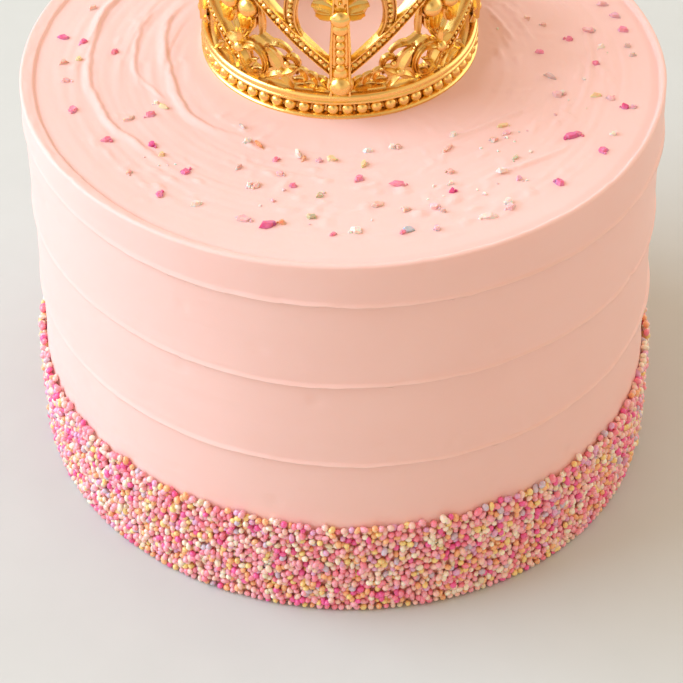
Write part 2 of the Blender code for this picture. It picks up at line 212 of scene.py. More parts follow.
def body_outline():
    """Radius and height from the middle of the underside to the middle of the top."""
    coarse, plain, at_lap, at_lip, on_swirl, under_crown = 3.0, 1.2, 0.22, 0.3, 0.42, 2.0
    swirl_from, edge_from = 38, CAKE_RADIUS - 6
    points = [(0.0, 0.0), (FOOT_RADIUS, 0.0)]
    height = coarse
    while height < CAKE_HEIGHT - RIM_ROUND - 0.3:
        points.append((CAKE_RADIUS, height))
        near = min(abs(height - lap) for lap in LAP_HEIGHTS)
        behind_beads = height < BEAD_BAND_TOP - 4
        height += coarse if behind_beads else (at_lap if near < 2.0 else plain)
    for step in range(7):
        turn = step / 6 * math.pi / 2
        points.append((CAKE_RADIUS - RIM_ROUND * (1 - math.cos(turn)),
                       CAKE_HEIGHT - RIM_ROUND * (1 - math.sin(turn))))
    radius = CAKE_RADIUS - RIM_ROUND - 0.2
    while radius > under_crown:
        points.append((radius, CAKE_HEIGHT))
        on_top = on_swirl if radius > swirl_from else under_crown
        radius -= at_lip if radius > edge_from else on_top
    return points + [(0.0, CAKE_HEIGHT)]


def lip_drop(angle, edge, place):
    """How far the top lies below the lip's crest, at a distance in from the cake's edge."""
    fullness = math.cos(angle - LIP_FULLEST_AT)
    lip = LIP_WIDTH * (0.58 + 0.36 * fullness)
    lip += 0.3 * noise.noise(Vector((math.cos(angle) * 9, math.sin(angle) * 9, 0.0)))
    sloped = 0.18 + 0.12 * fullness
    face = (1 - sloped) * ease(lip - 0.6, lip, edge)
    drop = LIP_DEPTH * (sloped * min(1.0, edge / lip) + face)
    gutter = ease(0.0, lip, edge) * (1 - ease(lip, lip + GUTTER_WIDTH, edge))
    drop += GUTTER_DEPTH * (1 - fullness) * gutter
    ragged = 0.22 * noise.noise(Vector((place.x, place.y, 5.0)) * 0.6)
    return drop + ragged * (1 - ease(lip * 0.6, lip, edge))


def shape_point(place):
    """Give one point of the turned body its laps, lip and swirl."""
    radius = math.hypot(place.x, place.y)
    if radius < 1e-6:
        middle = CAKE_HEIGHT - LIP_DEPTH if place.z > 1 else 0.0
        return settle(place.x, place.y, middle)
    angle = math.atan2(place.y, place.x)
    covered = BEAD_BAND_TOP - 3
    if place.z < covered:
        reach = FOOT_RADIUS
    elif place.z < CAKE_HEIGHT - RIM_ROUND - 0.01:
        under = 1 - ease(covered, BEAD_BAND_TOP + 1.5, place.z)
        reach = CAKE_RADIUS - side_inset(angle, place.z)
        reach += (FOOT_RADIUS - reach) * under
    else:
        reach = radius - side_inset(angle, CAKE_HEIGHT - RIM_ROUND) * ease(60, CAKE_RADIUS, radius)
    height = place.z
    if place.z > CAKE_HEIGHT - 0.01:
        height -= lip_drop(angle, CAKE_RADIUS - RIM_ROUND - radius, place)
        height += swirl_relief(place.x, place.y)
    scale = reach / radius
    return settle(place.x * scale, place.y * scale, height)


class Wire:
    """A shader socket that takes part in sums, so that masks read as formulas."""

    def __init__(self, tree, socket):
        self.tree = tree
        self.socket = socket

    def node(self, kind, settings, values, output=0):
        """Add any node: its settings first, then the values or wires of its sockets."""
        made = self.tree.nodes.new(kind)
        for key, value in settings.items():
            if key == "stops":
                ramp = made.color_ramp
                while len(ramp.elements) < len(value):
                    ramp.elements.new(1.0)
                for element, (place, colour) in zip(ramp.elements, value):
                    element.position = place
                    element.color = (*colour, 1.0)
            else:
                setattr(made, key, value)
        for key, value in values.items():
            if isinstance(value, Wire):
                self.tree.links.new(value.socket, made.inputs[key])
            else:
                made.inputs[key].default_value = value
        return Wire(self.tree, made.outputs[output])

    def math(self, operation, first, second=0.0):
        return self.node("ShaderNodeMath", {"operation": operation}, {0: first, 1: second})

    def __add__(self, other):
        return self.math("ADD", self, other)

    def __sub__(self, other):
        return self.math("SUBTRACT", self, other)

    def __rsub__(self, other):
        return self.math("SUBTRACT", other, self)

    def __mul__(self, other):
        return self.math("MULTIPLY", self, other)

    def __pow__(self, other):
        return self.math("POWER", self, other)

    def clamp(self):
        return self.node("ShaderNodeClamp", {}, {"Value": self})

    def noise(self, scale, detail=2.0, roughness=0.5, stretch=(1.0, 1.0, 1.0)):
        """Soft noise over the piece, its scale in bumps to the metre."""
        where = self.node("ShaderNodeMapping", {}, {"Vector": self, "Scale": stretch})
        return self.node("ShaderNodeTexNoise", {}, {
            "Vector": where, "Scale": scale, "Detail": detail, "Roughness": roughness})

    def blend(self, first, second):
        """Mix two colours, this wire giving the share of the second."""
        return self.node("ShaderNodeMix", {"data_type": "RGBA"},
                         {"Factor": self, "A": first, "B": second}, 2)

    def bump(self, strength, distance):
        return self.node("ShaderNodeBump", {},
                         {"Height": self, "Strength": strength, "Distance": distance})


def start_material(name, **constants):
    """A Principled material with its constant sockets set, its shader, and object space."""
    material = bpy.data.materials.new(name)
    material.use_nodes = True
    tree = material.node_tree
    shader = tree.nodes["Principled BSDF"]
    for socket, value in constants.items():
        shader.inputs[socket.replace("_", " ")].default_value = value
    place = tree.nodes.new("ShaderNodeTexCoord")
    return material, shader, Wire(tree, place.outputs["Object"])


def plug(shader, **wires):
    """Join wires to a shader's sockets, each named with its spaces as underscores."""
    for socket, wire in wires.items():
        wire.tree.links.new(wire.socket, shader.inputs[socket.replace("_", " ")])


scratch = bpy.data.meshes.new("scratch")


def append(target, source):
    """Move everything of one bmesh into another."""
    source.to_mesh(scratch)
    source.free()
    target.from_mesh(scratch)


def finish_piece(name, bm, material, smooth_under=math.pi):
    """Write a closed bmesh, in millimetres, as a piece of the cake in metres."""
    bmesh.ops.scale(bm, vec=(MM, MM, MM), verts=bm.verts[:])
    mesh = bpy.data.meshes.new(name)
    bm.to_mesh(mesh)
    bm.free()
    mesh.shade_smooth()
    if smooth_under < math.pi:
        mesh.set_sharp_from_angle(angle=smooth_under)
    mesh.materials.append(material)
    piece = bpy.data.objects.new(name, mesh)
    bpy.context.scene.collection.objects.link(piece)
    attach(piece, "root")
    return piece


ICING = (0.90, 0.555, 0.495, 1.0)
ICING_PALE = (0.93, 0.61, 0.555, 1.0)
ICING_STAINED = (0.92, 0.44, 0.35, 1.0)

buttercream, icing, icing_place = start_material(
    "pink buttercream", Roughness=0.52, Subsurface_Weight=0.12, Subsurface_Scale=0.004,
    Subsurface_Radius=(1.0, 0.45, 0.3), Specular_IOR_Level=0.35)
mottle = icing_place.noise(38.0, 3.0, 0.55)
streaks = icing_place.noise(55.0, 2.0, 0.5, (1.0, 1.0, 9.0))
grain = icing_place.noise(900.0, 2.0)
relief = streaks * 0.5 + mottle * 0.4 + grain * 0.12
# The beads' colours have bled into the icing behind them, up to 30 mm.
icing_height = icing_place.node("ShaderNodeSeparateXYZ", {}, {"Vector": icing_place}, 2)
stained = (icing_height * -700.0 + 21.0).clamp()
plug(icing, Base_Color=stained.blend(mottle.blend(ICING, ICING_PALE), ICING_STAINED),
     Normal=relief.bump(0.22, 0.0006))

body = bmesh.new()
profile = [body.verts.new((radius, 0.0, height)) for radius, height in body_outline()]
chain = [body.edges.new(pair) for pair in zip(profile[:-1], profile[1:])]
bmesh.ops.spin(body, geom=profile + chain, axis=(0, 0, 1), cent=(0, 0, 0),
               steps=SPIN_STEPS, angle=math.tau, use_merge=True)
bmesh.ops.remove_doubles(body, verts=body.verts[:], dist=1e-4)
for vert in body.verts:
    vert.co = shape_point(vert.co)
bmesh.ops.recalc_face_normals(body, faces=body.faces[:])
cake_body = finish_piece("buttercream_body", body, buttercream)
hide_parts("cake")


# Sugar beads: nonpareils a little under 2 mm wide, some long, pressed into the foot by the
# handful. They lie packed but in no order, one deep with a second bead in many of the
# gaps. The top of the band is ragged, and the lowest row stands side by side on the floor.
BEAD_RADIUS = 0.96
BEAD_REACH = 84.15
BEAD_SPACING = 1.52
GAP_SPACING = BEAD_SPACING * 0.70
ROW_SPACING = BEAD_SPACING * 1.27
BEAD_TRIES = 36000
# Each kind's share of the beads, and its colour.
BEAD_KINDS = {
    "pink": (30, (0.98, 0.40, 0.47)),
    "rose": (18, (0.97, 0.25, 0.34)),
    "blush": (27, (0.98, 0.61, 0.52)),
    "magenta": (9, (0.82, 0.10, 0.34)),
    "orange": (15, (0.98, 0.48, 0.22)),
    "amber": (10, (0.98, 0.69, 0.25)),
    "cream": (15, (0.98, 0.83, 0.65)),
    "lilac": (8, (0.72, 0.39, 0.60)),
    "slate": (4, (0.58, 0.52, 0.62)),
    "sage": (3, (0.72, 0.66, 0.44)),
}

random.seed(11)


def band_top(angle):
    """Ragged upper edge of the beads, in millimetres above the floor."""
    heading = Vector((math.cos(angle), math.sin(angle), 0.0))
    ragged = 0.9 * noise.noise(heading * 5.0) + 1.1 * noise.noise(heading * 21.0)
    return BEAD_BAND_TOP - 1.0 + ragged


def scatter_beads():
    """Where each bead lies: its place along the band, its height and how proud it is."""
    around = math.tau * BEAD_REACH
    columns = int(around / BEAD_SPACING)
    grid = {}
    kept = []

    def cell(along, height):
        return int(along / around * columns), int(height / BEAD_SPACING)

    def nearest(along, height):
        column, row = cell(along, height)
        best = math.inf
        for over in (-1, 0, 1):
            for up in (-1, 0, 1):
                for other in grid.get(((column + over) % columns, row + up), ()):
                    gap = abs(other[0] - along)
                    gap = min(gap, around - gap)
                    best = min(best, math.hypot(gap, other[1] - height))
        return best

    def keep(along, height, lift):
        column, row = cell(along, height)
        grid.setdefault((column % columns, row), []).append((along, height))
        kept.append((along, height, lift))

    def scatter(lowest, highest, below_edge, spacing, draw_lift):
        """Drop beads at random, and keep each that clears the ones before it."""
        for attempt in range(BEAD_TRIES):
            along, height = random.uniform(0, around), random.uniform(lowest, highest)
            if height > band_top(along / around * math.tau) - below_edge:
                continue
            if nearest(along, height) > spacing:
                keep(along, height, draw_lift())

    row_count = int(around / ROW_SPACING)
    for index in range(row_count):
        keep(around * (index + random.uniform(-0.08, 0.08)) / row_count % around,
             BEAD_RADIUS + random.uniform(0.0, 0.15), 0.0)
    scatter(1.0, BEAD_BAND_TOP + 2, 0.0, BEAD_SPACING, lambda: random.uniform(-0.35, 0.3))
    scatter(2.0, BEAD_BAND_TOP, 0.8, GAP_SPACING, lambda: random.choice((-0.85, -0.7, 0.55)))
    return kept


def make_bead_material(name, colour):
    """Hard sugar with a dull polish, its colour a little uneven from bead to bead."""
    material, shader, place = start_material(
        f"sugar {name}", Roughness=0.4, Subsurface_Weight=0.3, Subsurface_Scale=0.001,
        Coat_Weight=0.7, Coat_Roughness=0.3)
    tone = place.noise(420.0, 1.0)
    grit = place.noise(2600.0, 1.0)
    red, green, blue = colour
    dark = (red * 0.94, green * 0.76, blue * 0.76, 1.0)
    light = tuple(min(1.0, part * 1.2 + 0.02) for part in colour) + (1.0,)
    plug(shader, Base_Color=tone.blend(dark, light), Normal=grit.bump(0.25, 0.0002))
    return material


bead = bmesh.new()
bmesh.ops.create_uvsphere(bead, u_segments=8, v_segments=5, radius=1.0)
heaps = {name: bmesh.new() for name in BEAD_KINDS}
weights = [share for share, colour in BEAD_KINDS.values()]
for along, height, lift in scatter_beads():
    angle = along / BEAD_REACH
    heap = heaps[random.choices(list(BEAD_KINDS), weights)[0]]
    reach = BEAD_REACH + lift
    size = BEAD_RADIUS * random.uniform(0.84, 1.04)
    flat, long = random.uniform(0.8, 1.0), random.triangular(0.9, 1.6, 1.0)
    in_lowest_row = height < 2 * BEAD_RADIUS
    if in_lowest_row:
        long = min(long, 1.05)
    shape = Matrix.Diagonal((size * flat, size, size * long, 1))
    turn = Matrix.Rotation(random.random() * math.tau, 4, Vector((random.random(), 0.4, 0.6)))
    height += max(0.0, BEAD_RADIUS * 1.1 - height)
    lie = Matrix.Translation(settle(reach * math.cos(angle), reach * math.sin(angle), height))
    fresh = bead.copy()
    fresh.transform(lie @ turn @ shape)
    append(heap, fresh)
for name, heap in heaps.items():
    paint = make_bead_material(name, BEAD_KINDS[name][1])
    finish_piece(f"sugar_beads_{name}", heap, paint)


# Sugar flakes: chips of coloured sugar glass, 2 to 5 mm long, broken up and dropped on the
# wet top by hand. Each lies tipped where it fell, a little sunk in, with a splinter of
# itself at one end, and pale crumbs lie between them.
CRUMBS = {"white": 24, "pink": 10}
CRUMB_BEARING, CRUMB_SPREAD = -1.35, 0.75
# Each kind has its colour, then x, y, length, width and turn of its flakes.
FLAKE_KINDS = {
    "magenta": ((0.76, 0.07, 0.28), (
        (-72.8, 10.0, 3.4, 1.9, -0.3), (-67.3, 7.8, 2.6, 1.7, 0.2), (-46.2, -35.6, 2.6, 2.4, -0.6),
        (-37.2, -46.3, 2.8, 2.8, 0.2), (-42.8, -55.3, 2.6, 2.4, 0.3), (-16.5, -66.2, 4.4, 3.0, 0.3),
        (52.8, -48.9, 3.2, 2.4, -0.5), (70.7, -17.6, 2.6, 1.8, -0.2), (56.5, -30.0, 4.2, 2.4, 0.2),
        (63.8, -35.6, 3.0, 2.6, -0.3), (26.8, -52.8, 2.2, 2.0, 0.1))),
    "rose": ((0.88, 0.20, 0.34), (
        (-58.9, 3.9, 2.6, 2.2, 0.6), (-67.1, -21.5, 3.0, 2.8, 1.0), (-57.5, -33.8, 3.0, 2.2, 0.3),
        (72.7, 16.4, 3.4, 2.0, -0.3), (58.3, 12.0, 2.4, 2.2, 0.4), (50.5, 5.5, 2.8, 1.1, -0.5),
        (64.4, 0.9, 2.4, 1.6, -0.4), (58.3, -29.1, 3.2, 2.0, -0.3), (-15.7, -41.1, 2.0, 1.6, 0.9),
        (-11.2, -51.2, 2.2, 1.6, 0.0), (4.6, -48.2, 2.8, 2.4, 0.9), (14.0, -50.4, 4.6, 1.9, -0.1),
        (15.1, -68.6, 1.8, 1.4, 0.1), (-1.2, -69.6, 1.8, 1.3, 0.4), (-47.7, -23.3, 3.0, 1.7, 0.2))),
    "pink": ((0.94, 0.48, 0.50), (
        (-70.2, -9.2, 3.0, 2.0, 0.1), (68.0, 28.5, 3.0, 1.8, -0.2), (63.5, 15.8, 4.0, 2.2, -0.2),
        (54.2, -12.8, 3.4, 2.4, 0.0), (67.4, -13.9, 2.8, 1.6, -0.2), (40.8, -29.1, 2.6, 1.6, 0.1),
        (-14.5, -46.6, 2.4, 1.8, 0.2), (22.5, -58.7, 3.4, 2.4, -0.2), (40.5, -58.7, 3.0, 2.0, 0.8),
        (-22.3, -64.1, 4.4, 3.4, 0.1))),
    "lilac": ((0.80, 0.44, 0.52), (
        (70.8, 22.9, 3.2, 1.8, -0.4), (72.7, -17.6, 2.2, 1.6, 0.2),
        (-5.0, -41.3, 2.2, 1.7, 0.1), (23.1, -66.9, 2.0, 1.6, 0.9), (43.0, -47.5, 2.0, 1.8, 0.0))),
    "white": ((0.95, 0.78, 0.70), (
        (-46.6, -18.2, 1.8, 1.4, 0.0), (4.4, -68.0, 3.4, 3.6, 0.8), (-33.7, -58.6, 3.2, 2.0, 0.3),
        (55.3, -12.0, 2.0, 1.6, 0.3), (67.1, -29.0, 2.2, 1.6, 0.4), (39.0, -44.8, 3.0, 2.0, -0.1),
        (66.2, 8.5, 2.2, 1.4, 0.3), (-22.8, -34.0, 2.6, 2.2, 0.3), (-10.4, -39.0, 3.8, 1.6, -1.2),
        (-21.5, -51.0, 2.0, 1.8, 0.8), (12.5, -35.3, 2.0, 1.8, 0.9), (26.7, -49.7, 1.8, 1.5, 0.0),
        (27.5, -30.5, 2.4, 2.0, 0.5), (40.1, -56.8, 3.0, 2.4, 0.6), (34.9, -62.2, 4.8, 2.4, 0.1),
        (6.6, -37.0, 2.8, 1.8, 0.0))),
    "amber": ((0.90, 0.64, 0.32), (
        (-44.8, -19.8, 3.2, 1.2, -0.7), (-67.8, 0.1, 2.0, 1.4, 0.5),
        (-43.5, -39.6, 1.8, 1.5, 0.2), (-2.1, -40.8, 3.2, 1.8, -0.3),
        (64.0, -13.1, 3.6, 1.1, 0.1), (39.9, -26.2, 3.6, 1.4, 0.4),
        (5.7, -42.7, 3.2, 1.6, 1.4))),
    "blush": ((0.92, 0.54, 0.46), (
        (-50.7, -46.9, 2.0, 1.6, 0.9), (-71.6, -1.3, 2.6, 1.8, 0.4),
        (-52.8, -25.0, 4.2, 1.5, 0.5), (-66.4, 24.0, 3.0, 1.6, 0.8),
        (37.5, -32.0, 2.4, 1.8, -0.4), (47.8, 21.5, 2.6, 1.5, -0.7),
        (51.9, 18.3, 2.2, 1.3, -0.3), (-20.1, -51.0, 3.0, 2.2, 1.3), (14.0, -35.3, 2.2, 1.8, 0.3),
        (15.8, -59.9, 3.0, 2.0, 0.1), (9.2, -58.2, 3.6, 2.0, 0.2), (26.7, -45.0, 2.4, 2.0, 0.5),
        (25.9, -35.9, 4.6, 1.4, 0.9))),
    "blue": ((0.45, 0.50, 0.55), ((16.5, -67.4, 3.8, 2.4, 0.1),)),
    "sage": ((0.55, 0.52, 0.32), (
        (-6.5, -63.0, 2.8, 2.2, 0.2), (-4.6, -55.0, 2.2, 1.6, 0.4), (42.4, -39.2, 2.6, 1.3, 0.9))),
    "slate": ((0.70, 0.50, 0.46), (
        (73.2, 9.1, 2.2, 1.5, 0.0), (74.1, 5.1, 2.4, 1.5, 0.5), (52.6, -5.1, 4.2, 1.1, -0.6),
        (-24.6, -27.8, 3.4, 0.8, -0.9), (-24.5, -44.4, 2.6, 0.9, 0.8),
        (24.6, -60.5, 1.6, 1.2, 0.0))),
    "orange": ((0.85, 0.34, 0.14), (
        (-20.1, -35.1, 3.8, 1.3, -0.9), (-8.9, -40.6, 2.4, 1.1, 1.2),
        (-13.3, -65.4, 2.2, 1.5, 0.1))),
}

random.seed(5)


def add_flake(heap, x, y, length, width, turn, thick):
    """A broken chip: a jagged plate with a smaller upper face, tipped as it lies."""
    verts = bmesh.ops.create_cone(heap, cap_ends=True, segments=7, radius1=0.5,
                                  radius2=0.34, depth=1.0)["verts"]
    lie = Matrix.Rotation(turn, 3, "Z") @ Matrix.Rotation(random.uniform(-0.35, 0.35), 3, "X")
    lie = lie @ Matrix.Rotation(random.uniform(-0.2, 0.2), 3, "Y")
    level = CAKE_HEIGHT - LIP_DEPTH + swirl_relief(x, y) + thick * 0.3
    middle = settle(x, y, level)
    for vert in verts:
        jag = Vector((vert.co.x * length * random.uniform(0.6, 1.2),
                      vert.co.y * width * random.uniform(0.6, 1.2),
                      vert.co.z * thick * random.uniform(0.7, 1.2)))
        vert.co = middle + lie @ jag


def add_splinter(heap, x, y, length, width, turn):
    """A bit broken off a flake, lying against one of its ends."""
    ahead = length * random.uniform(0.3, 0.5) * random.choice((-1, 1))
    aside = width * random.uniform(-0.45, 0.45)
    size = width * random.uniform(0.25, 0.42)
    add_flake(heap, x + ahead * math.cos(turn) - aside * math.sin(turn),
              y + ahead * math.sin(turn) + aside * math.cos(turn),
              size * 1.3, size, random.random() * math.pi, size * 0.8)


for name, (colour, flakes) in FLAKE_KINDS.items():
    heap = bmesh.new()
    for x, y, length, width, turn in flakes:
        add_flake(heap, x, y, length, width, turn, random.uniform(0.9, 1.3))
        add_splinter(heap, x, y, length, width, turn)
    for crumb in range(CRUMBS.get(name, 0)):
        angle = random.gauss(CRUMB_BEARING, CRUMB_SPREAD)
        reach = random.triangular(42.0, 78.0, 60.0)
        size = random.triangular(0.5, 1.6, 0.8)
        add_flake(heap, reach * math.cos(angle), reach * math.sin(angle), size,
                  size * random.uniform(0.5, 1.0), random.random() * math.pi, size * 0.5)
    glass, shader, place = start_material(
        f"sugar glass {name}", Roughness=0.42, Subsurface_Weight=0.65, Subsurface_Scale=0.002)
    dark = tuple(part * 0.82 for part in colour) + (1.0,)
    light = tuple(part + (1 - part) * 0.2 for part in colour) + (1.0,)
    cloud = ((place.noise(420.0, 1.0) - 0.5) * 2.4 + 0.5).clamp()
    plug(shader, Base_Color=cloud.blend(dark, light))
    finish_piece(f"sugar_flakes_{name}", heap, glass, math.radians(25))


# Crown: one gold casting, its openwork wall bent round a beaded base. Front and back
# hold a heart in a wide V about a jewelled post, the two sides an arch about a post, and
# each corner a star between balls in leaf cups. Its foot is pressed into the icing.
WALL_RADIUS = 34.4
EIGHTH = WALL_RADIUS * math.pi / 4
FLARE = 0.02
RAIL_BEADS = 60
RAIL_BEAD_RADIUS = 1.62
RAIL_BEAD_REACH = 34.35
RAIL_BEAD_HEIGHT = 2.7
HOLLOW_REACH = 33.9
CROWN_TURN = math.radians(1.3)
CROWN_SUNK = 1.0
FRONT_AND_BACK = (0.0, math.pi)
SIDES = (math.pi / 2, -math.pi / 2)
CORNERS = [math.pi / 4 + turn * math.pi / 2 for turn in range(4)]
# From which radius to which each layer of the wall goes.
FULL, THIN, PROUD, POST = (32.0, 34.9), (32.5, 34.4), (32.9, 35.3), (31.8, 35.8)
# Sections of its bars: across from edge to edge, and up from the back to the face.
RAILED = ((-1, 0), (-1, 0.9), (-0.92, 1), (-0.76, 1), (-0.66, 0.72),
          (0.66, 0.72), (0.76, 1), (0.92, 1), (1, 0.9), (1, 0))
REEDED = ((-1, 0), (-1, 0.8), (-0.72, 1), (-0.42, 0.72), (0, 1),
          (0.42, 0.72), (0.72, 1), (1, 0.8), (1, 0))
RIDGED = ((-1, 0.15), (-1, 0.5), (-0.5, 0.55), (0, 1), (0.5, 0.55), (1, 0.5), (1, 0.15))

GOLD_PALE = (0.96, 0.70, 0.25, 1.0)
GOLD_DEEP = (0.90, 0.57, 0.16, 1.0)
# Painted shade: a dark gold that stands for the shade in the crown's hollows.
GOLD_SHADE_IN_HOLLOWS = (0.45, 0.24, 0.08, 1.0)

gold, metal, gold_place = start_material("polished gold", Metallic=1.0)
cast = gold_place.noise(260.0, 3.0)
wall_reach = gold_place.node("ShaderNodeAttribute", {"attribute_name": "reach"}, {}, 2)
from_hollow = wall_reach - HOLLOW_REACH
# Painted shade: the gold is darkened towards the hollows of the wall, where little light reaches.
hollow_shade = (1.0 - from_hollow.math("ABSOLUTE", from_hollow) * 1.5).clamp()
polished = gold_place.noise(90.0).blend(GOLD_PALE, GOLD_DEEP)
plug(metal, Base_Color=(hollow_shade * 0.62).blend(polished, GOLD_SHADE_IN_HOLLOWS),
     Roughness=cast * 0.22 + 0.15, Normal=cast.bump(0.3, 0.0004))
crown = bmesh.new()


def curve(points, steps):
    """Points along a chain of Bezier arcs; each arc shares its end with the next."""
    path = []
    for start in range(0, len(points) - 1, 3):
        arc = [Vector((*point, 0.0)) for point in points[start:start + 4]]
        path += interpolate_bezier(*arc, steps)[(1 if path else 0):]
    return [(point.x, point.y) for point in path]


def add_bar(motif, path, widths, layer, section):
    """A closed bar of the flat wall: a section carried along a path, its width changing."""
    around, count = len(section), len(path) - 1
    back, face = layer
    bar = bmesh.new()
    grid = bmesh.ops.create_grid(bar, x_segments=around, y_segments=count, size=1.0)["verts"]
    for index, (x, y) in enumerate(path):
        before, after = path[max(index - 1, 0)], path[min(index + 1, count)]
        ahead = Vector((after[0] - before[0], after[1] - before[1])).normalized()
        at = index / count * (len(widths) - 1)
        low = min(int(at), len(widths) - 2)
        half = (widths[low] + (widths[low + 1] - widths[low]) * (at - low)) / 2
        for turn in range(around + 1):
            across, depth = section[turn % around]
            grid[index * (around + 1) + turn].co = (
                x - ahead.y * across * half, y + ahead.x * across * half,
                back + (face - back) * depth)
    bmesh.ops.remove_doubles(bar, verts=bar.verts[:], dist=1e-5)
    bmesh.ops.holes_fill(bar, edges=bar.edges[:], sides=0)
    bmesh.ops.recalc_face_normals(bar, faces=bar.faces[:])
    if bar.calc_volume(signed=True) < 0:
        bmesh.ops.reverse_faces(bar, faces=bar.faces[:])
    append(motif, bar)


def add_scroll(motif, points, steps, widths, section):
    """A thin bar along a chain of Bezier arcs."""
    add_bar(motif, curve(points, steps), widths, THIN, section)


def add_leaf(motif, root, tip, width, layer=PROUD, sag=0.0):
    """A pointed, veined leaf, swelling in the middle and bowed to one side."""
    root, tip = Vector(root), Vector(tip)
    aside = Vector((root.y - tip.y, tip.x - root.x)) * sag * 4
    path = [root.lerp(tip, t / 6) + aside * (t / 6) * (1 - t / 6) for t in range(7)]
    widths = [width * share for share in (0.45, 0.95, 1.0, 0.72, 0.12)]
    add_bar(motif, path, widths, layer, RIDGED)


def add_ball(motif, spot, radius, squash=1.0, segments=18):
    """A ball or a round jewel; squash flattens it towards the wall."""
    shape = Matrix.Translation(spot) @ Matrix.Diagonal((1.0, 1.0, squash, 1.0))
    bmesh.ops.create_uvsphere(motif, u_segments=segments, v_segments=segments // 2 + 1,
                              radius=radius, matrix=shape)


def add_studs(motif, path, spacing, radius, depth):
    """Small faceted stones set at even steps along a path."""
    gone, due = 0.0, spacing * 0.5
    for start, end in zip(path, path[1:]):
        step = math.dist(start, end)
        while due <= gone + step:
            x, y = Vector(start).lerp(Vector(end), (due - gone) / step)
            turn = Matrix.Rotation(due * 3.1, 4, Vector((0.3, 0.5, 1.0)))
            bmesh.ops.create_icosphere(motif, subdivisions=1, radius=radius,
                                       matrix=Matrix.Translation((x, y, depth)) @ turn)
            due += spacing
        gone += step


def set_round(motif, middles, mirrored):
    """Bend a flat motif on to the wall at each middle, with its mirror image for a half."""
    for middle in middles:
        for flip in (1, -1) if mirrored else (1,):
            bent = motif.copy()
            for vert in bent.verts:
                along, height, radius = vert.co
                radius += FLARE * height
                angle = middle + flip * along / WALL_RADIUS
                vert.co = (radius * math.sin(angle), -radius * math.cos(angle), height)
            if flip < 0:
                bmesh.ops.reverse_faces(bent, faces=bent.faces[:])
            append(crown, bent)
    motif.free()


# The base: a foot, a groove for its row of beads, and a stepped rail over them.
base_section = (
    (31.6, 0.2), (31.8, 0.0), (35.55, 0.0), (35.85, 0.25), (35.85, 0.75), (35.5, 1.1),
    (34.8, 1.2), (33.8, 1.4), (33.5, 2.6), (33.8, 4.0), (34.8, 4.3), (35.5, 4.4),
    (35.75, 4.7), (35.7, 5.1), (35.35, 5.35), (35.3, 5.55), (35.6, 5.8),
    (35.6, 6.4), (35.3, 6.9), (34.8, 7.1), (31.9, 7.1), (31.6, 6.9))
section = [crown.verts.new((radius, 0.0, height)) for radius, height in base_section]
edges = [crown.edges.new(pair) for pair in zip(section, section[1:] + section[:1])]
bmesh.ops.spin(crown, geom=section + edges, axis=(0, 0, 1), cent=(0, 0, 0),
               steps=144, angle=math.tau, use_merge=True)
bmesh.ops.remove_doubles(crown, verts=crown.verts[:], dist=1e-4)
bmesh.ops.recalc_face_normals(crown, faces=crown.faces[:])
for index in range(RAIL_BEADS):
    angle = math.tau * (index + 0.5) / RAIL_BEADS
    spot = (RAIL_BEAD_REACH * math.sin(angle), -RAIL_BEAD_REACH * math.cos(angle),
            RAIL_BEAD_HEIGHT)
    add_ball(crown, spot, RAIL_BEAD_RADIUS, segments=14)

# One half of the front and back, beside the post: an arm of the V and its stones, half
# of the heart, and below them a ring, a curl, a flower and two rows of leaves.
heart_half = bmesh.new()
arm = curve(((0.6, 12.9), (9, 20.9), (18, 29.4), (EIGHTH, 37.4)), 14)
add_bar(heart_half, arm, (2.9, 2.7), FULL, RAILED)
add_studs(heart_half, arm, 1.6, 0.86, 34.3)
heart = curve(((10.4, 22.6), (12.9, 26.0), (12.6, 30.0), (11.8, 33.5), (11.1, 37.5),
               (9.6, 40.3), (6.6, 40.3), (3.6, 40.3), (1.4, 38.2), (0.0, 35.6)), 8)
add_bar(heart_half, heart, (2.8, 3.4, 2.6, 2.0), THIN, RAILED)
add_studs(heart_half, heart, 1.45, 0.72, 34.0)
add_scroll(heart_half, ((12.6, 17.4), (14.6, 19.6), (17.6, 19.6), (19.6, 17.2)), 8,
           (1.0, 2.4, 1.6), RIDGED)
open_ring = []
for step in range(-5, 11):
    turn = step * math.tau / 16
    open_ring.append((23.3 + 3.9 * math.cos(turn), 12.1 + 4.3 * math.sin(turn)))
add_bar(heart_half, open_ring, (2.2, 2.4, 2.8, 2.0), (31.4, 34.6), REEDED)
add_scroll(heart_half, ((11.0, 11.6), (10.2, 13.6), (10.6, 15.9), (12.2, 16.2),
                        (13.8, 16.4), (14.6, 14.9), (13.5, 14.2)), 6,
           (1.0, 1.3, 1.2, 0.8), REEDED)
add_ball(heart_half, (13.4, 14.3, 34.2), 0.8, segments=12)
add_bar(heart_half, ((15.6, 19.4), (17.0, 18.8), (18.8, 19.2), (21.2, 20.4)),
        (1.6, 2.4, 2.0), THIN, RIDGED)
flower = (15.0, 11.4)
for tip, width in (((18.4, 17.6), 4.4), ((10.6, 13.9), 3.2),
                   ((11.4, 8.0), 3.0), ((19.6, 8.2), 3.4)):
    add_leaf(heart_half, flower, tip, width, (32.9, 35.5), sag=0.05)
add_ball(heart_half, (*flower, 34.6), 1.3, 0.8, segments=12)
for step in range(3):
    x, y = 3.2 + step * 2.5, 8.6 + step * 1.0
    add_leaf(heart_half, (x, y), (x + 2.2, y + 3.2), 2.3, sag=0.08)
    add_leaf(heart_half, (x + 0.4, y - 0.2), (x + 3.4, y - 0.3), 1.8, sag=-0.06)
add_leaf(heart_half, (2.4, 8.7), (11.6, 8.5), 1.9, (32.6, 35.0))
